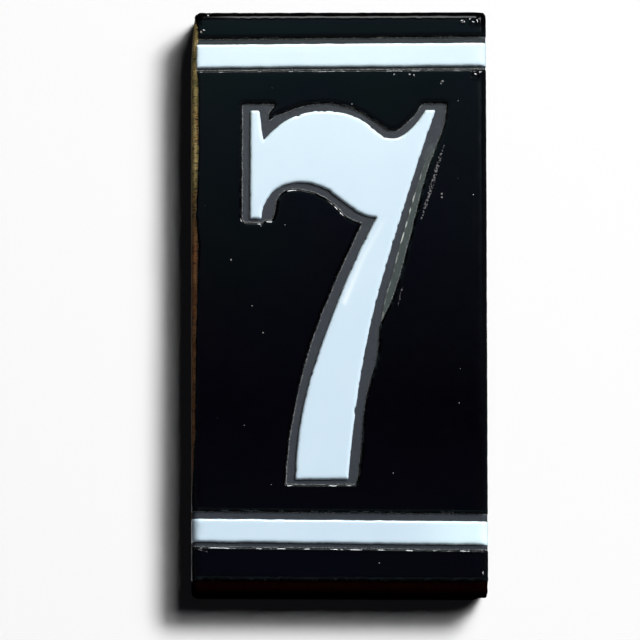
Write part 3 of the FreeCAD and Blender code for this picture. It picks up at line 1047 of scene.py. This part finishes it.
def make_card():
    """A dim upright card ahead of the tile, bluish at its head and foot, that only the gloss shows."""
    material = bpy.data.materials.new("card_glow")
    nodes = Nodes(material)
    place = nodes.add("TexCoord").outputs["Object"]
    height = nodes.ramp(nodes.part(place, 2), CARD_LOW, CARD_HIGH, shape="LINEAR")
    glow = nodes.add("ValToRGB", {"Fac": height})
    stops = glow.color_ramp.elements
    while len(stops) < len(CARD_GLOW):
        stops.new(0.5)
    for stop, (z, colour) in zip(stops, CARD_GLOW):
        stop.position = (z - CARD_LOW) / (CARD_HIGH - CARD_LOW)
        stop.color = (*colour, 1)
    cloud = nodes.add("TexNoise", {"Vector": place, "Scale": CLOUD_SCALE, "Detail": 2.0})
    # Inputs 7 to 10 of this node are the limits for a vector
    limits = {7 + i: (value,) * 3 for i, value in enumerate(CLOUD_RANGE + CLOUD_TINT)}
    inputs = {"Vector": cloud.outputs["Color"], **limits}
    tint = nodes.add("MapRange", inputs, data_type="FLOAT_VECTOR").outputs["Vector"]
    shade = nodes.add("VectorMath", {0: glow.outputs["Color"], 1: tint}, operation="MULTIPLY")
    light = nodes.add("Emission", {"Color": shade.outputs["Vector"], "Strength": 1.0})
    nodes.add("OutputMaterial", {"Surface": light.outputs["Emission"]})
    corners = [(x, CARD_AHEAD, z) for x, z in ((-CARD_SIDE, CARD_LOW), (-CARD_SIDE, CARD_HIGH),
                                              (CARD_SIDE, CARD_HIGH), (CARD_SIDE, CARD_LOW))]
    card = flat_sheet("card", corners, material)
    card.visible_glossy = True
    card.visible_camera = False


# The two keys, a small one before a wide one, facing straight back: name, watts, place and size
KEYS = [("key", 1510.0, (5.42, -6.0, 5.3), 3.8), ("key_soft", 770.0, (5.42, -6.05, 5.3), 7.8)]

# Lamps for the tile alone: name, watts, colour, place, target, width and height, in metres.
# The glints only show in the gloss, and the others never do
TILE_LAMPS = [("glint_right", 8.0, (1.0, 1.0, 1.0), (0.31, -0.35, 0.3), (0, 0, 0), 0.2, 0.2),
              ("strip", 0.042, (1.0, 0.9, 0.6), (0.0, -0.06, 0.12), (0, 0, 0.05), 0.14, 0.02),
              ("glint", 4.0, (0.95, 1.0, 1.0), (0.0, -0.25, 0.36), (0, 0, 0), 0.2, 0.1),
              ("fill_low", 3.4, (1.0, 1.0, 1.0), (-0.2, -0.95, -1.0), (0, 0, 0), 0.8, 0.8)]

# Fills for views from the sides and from behind: name, watts and place
FILLS = [("fill_left", 1.0, (-0.9, 0.5, 0.3)), ("fill_right", 0.8, (0.9, 0.5, 0.3)),
         ("fill_back", 5.0, (0.1, 1.1, 0.5)), ("fill_top", 2.0, (0.0, 0.5, 1.0))]
FILL_SIZE = 0.6


def add_lamp(name, energy, place, target, colour=(1.0, 1.0, 1.0), **settings):
    """An area lamp aimed at a target, which the camera doesn't see."""
    lamp = bpy.data.objects.new(name, bpy.data.lights.new(name, "AREA"))
    lamp.data.energy = energy
    lamp.data.color = colour
    lamp.visible_camera = False
    for setting, value in settings.items():
        setattr(lamp.data, setting, value)
    bpy.context.scene.collection.objects.link(lamp)
    lamp.location = place
    lamp.rotation_euler = (Vector(target) - Vector(place)).to_track_quat("-Z", "Y").to_euler()
    return lamp


def make_lights(tile):
    """Two far keys from the upper right, small lamps for the tile alone, and fills behind the wall."""
    for name, energy, place, size in KEYS:
        key = add_lamp(name, energy, place, (place[0], 0.0, place[2]), shape="DISK", size=size)
        key.visible_glossy = False
        # Matt surfaces' own rays pass through the tile, so they mustn't be the ones to find the keys
        key.data.cycles.use_multiple_importance_sampling = False
    only = bpy.data.collections.new("tile_only")
    only.objects.link(tile)
    for name, energy, colour, place, target, wide, high in TILE_LAMPS:
        lamp = add_lamp(name, energy, place, target, colour, shape="RECTANGLE", size=wide, size_y=high)
        setattr(lamp, "visible_diffuse" if name.startswith("glint") else "visible_glossy", False)
        lamp.light_linking.receiver_collection = only
    for name, energy, place in FILLS:
        lamp = add_lamp(name, energy, place, (0, 0, 0), shape="SQUARE", size=FILL_SIZE)
        lamp.visible_glossy = False


# What the tile finds around it: next to nothing, and a dim glow for the gloss
SURROUND_MATT = (0.004, 0.004, 0.0045)
SURROUND_GLOSS = (0.035, 0.05, 0.065)


def make_world():
    """White for the camera and where the gloss mirrors the wall's side, and dim everywhere else."""
    world = bpy.data.worlds.new("studio")
    bpy.context.scene.world = world
    nodes = Nodes(world)
    rays = nodes.add("LightPath").outputs
    way = nodes.part(nodes.add("TexCoord").outputs["Generated"], 1)
    behind = nodes.ramp(way, 0.9, 0.96, shape="LINEAR")
    mirrored = nodes.math("MULTIPLY", rays["Is Glossy Ray"], behind)
    share = nodes.math("MAXIMUM", rays["Is Camera Ray"], mirrored)
    surround = nodes.mix(rays["Is Glossy Ray"], SURROUND_MATT, SURROUND_GLOSS)
    dim = nodes.add("Background", {"Color": surround}).outputs["Background"]
    white = nodes.add("Background", {"Color": (1.0, 1.0, 1.0)}).outputs["Background"]
    pick = nodes.add("MixShader", {"Fac": share, 1: dim, 2: white})
    nodes.add("OutputWorld", {"Surface": pick.outputs["Shader"]})


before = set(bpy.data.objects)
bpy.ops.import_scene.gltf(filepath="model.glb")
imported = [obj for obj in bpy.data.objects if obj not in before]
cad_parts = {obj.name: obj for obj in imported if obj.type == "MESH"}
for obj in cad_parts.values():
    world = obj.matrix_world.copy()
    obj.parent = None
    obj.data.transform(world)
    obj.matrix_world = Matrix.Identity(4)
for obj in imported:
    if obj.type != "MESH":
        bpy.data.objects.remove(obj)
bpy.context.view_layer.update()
make_camera()
tile = make_tile()
make_stage()
make_card()
make_lights(tile)
make_world()
bpy.context.scene.view_settings.view_transform = "Standard"
